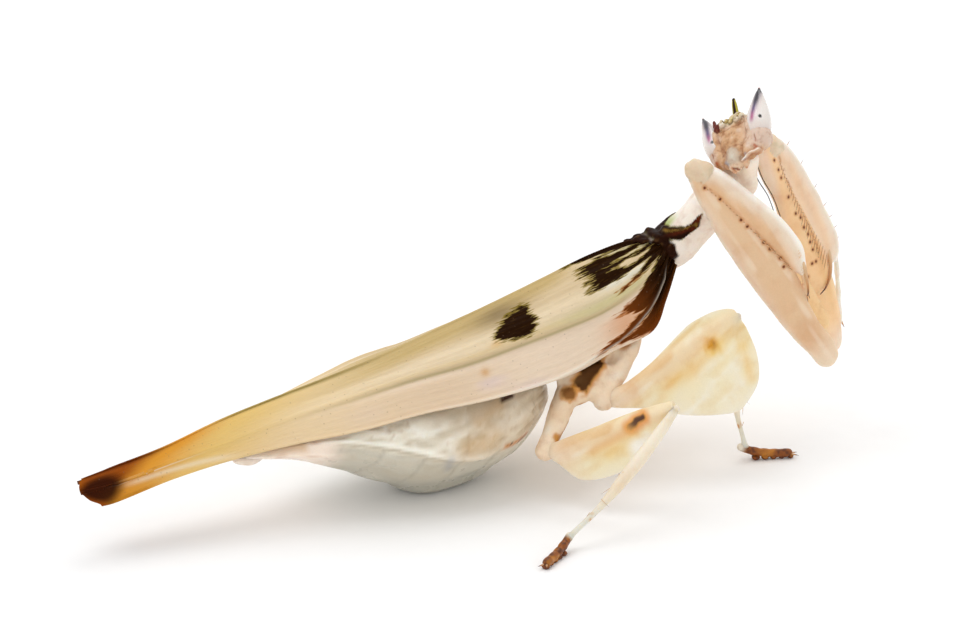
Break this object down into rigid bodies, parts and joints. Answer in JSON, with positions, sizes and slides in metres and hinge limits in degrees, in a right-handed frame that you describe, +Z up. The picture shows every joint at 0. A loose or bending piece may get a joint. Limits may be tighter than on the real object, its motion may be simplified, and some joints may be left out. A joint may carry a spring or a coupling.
{
  "type": "orchid mantis",
  "caption": "Adult female orchid mantis resting on her belly, wings folded, head turned, forelegs raised and folded, walking legs with petal-like lobes.",
  "frame": {"origin": "on the floor, under the middle of the bounding box", "axes": "+X from the tail towards the head along the folded wings, +Y to her left, +Z up"},
  "size_m": [0.061, 0.0372, 0.0277],
  "materials": {
    "belly_cuticle": "ivory cuticle, waxy gloss",
    "body_cuticle": "pinkish cream cuticle, soft sheen",
    "leg_cuticle": "cream translucent cuticle, soft sheen",
    "foot_cuticle": "red-brown cuticle, soft sheen",
    "eye_cornea": "pale mauve cornea, glossy",
    "dark_cuticle": "dark brown cuticle, satin",
    "tegmen_membrane": "leathery cream forewing, satin",
    "hindwing_membrane": "thin milky membrane, satin"
  },
  "bodies": {
    "root": {"abdomen": "belly_cuticle", "antenna_left": "dark_cuticle", "antenna_right": "dark_cuticle", "cercus_left": "body_cuticle", "cercus_right": "body_cuticle", "eye_left": "eye_cornea", "eye_right": "eye_cornea", "fore_coxa_left": "body_cuticle", "fore_coxa_right": "body_cuticle", "fore_femur_left": "body_cuticle", "fore_femur_right": "body_cuticle", "fore_tarsus_left": "body_cuticle", "fore_tarsus_right": "body_cuticle", "fore_tibia_left": "body_cuticle", "fore_tibia_right": "body_cuticle", "head": "body_cuticle", "hind_coxa_left": "body_cuticle", "hind_coxa_right": "body_cuticle", "hind_femur_left": "leg_cuticle", "hind_femur_right": "leg_cuticle", "hind_tarsus_left": "foot_cuticle", "hind_tarsus_right": "foot_cuticle", "hind_tibia_left": "leg_cuticle", "hind_tibia_right": "leg_cuticle", "hindwing_left": "hindwing_membrane", "hindwing_right": "hindwing_membrane", "mid_coxa_left": "body_cuticle", "mid_coxa_right": "body_cuticle", "mid_femur_left": "leg_cuticle", "mid_femur_right": "leg_cuticle", "mid_tarsus_left": "foot_cuticle", "mid_tarsus_right": "foot_cuticle", "mid_tibia_left": "leg_cuticle", "mid_tibia_right": "leg_cuticle", "mouthparts": "body_cuticle", "neck": "body_cuticle", "prothorax": "body_cuticle", "tegmen_left": "tegmen_membrane", "tegmen_right": "tegmen_membrane", "thorax": "body_cuticle", "vertex_horn": "dark_cuticle"}
  },
  "joints": []
}
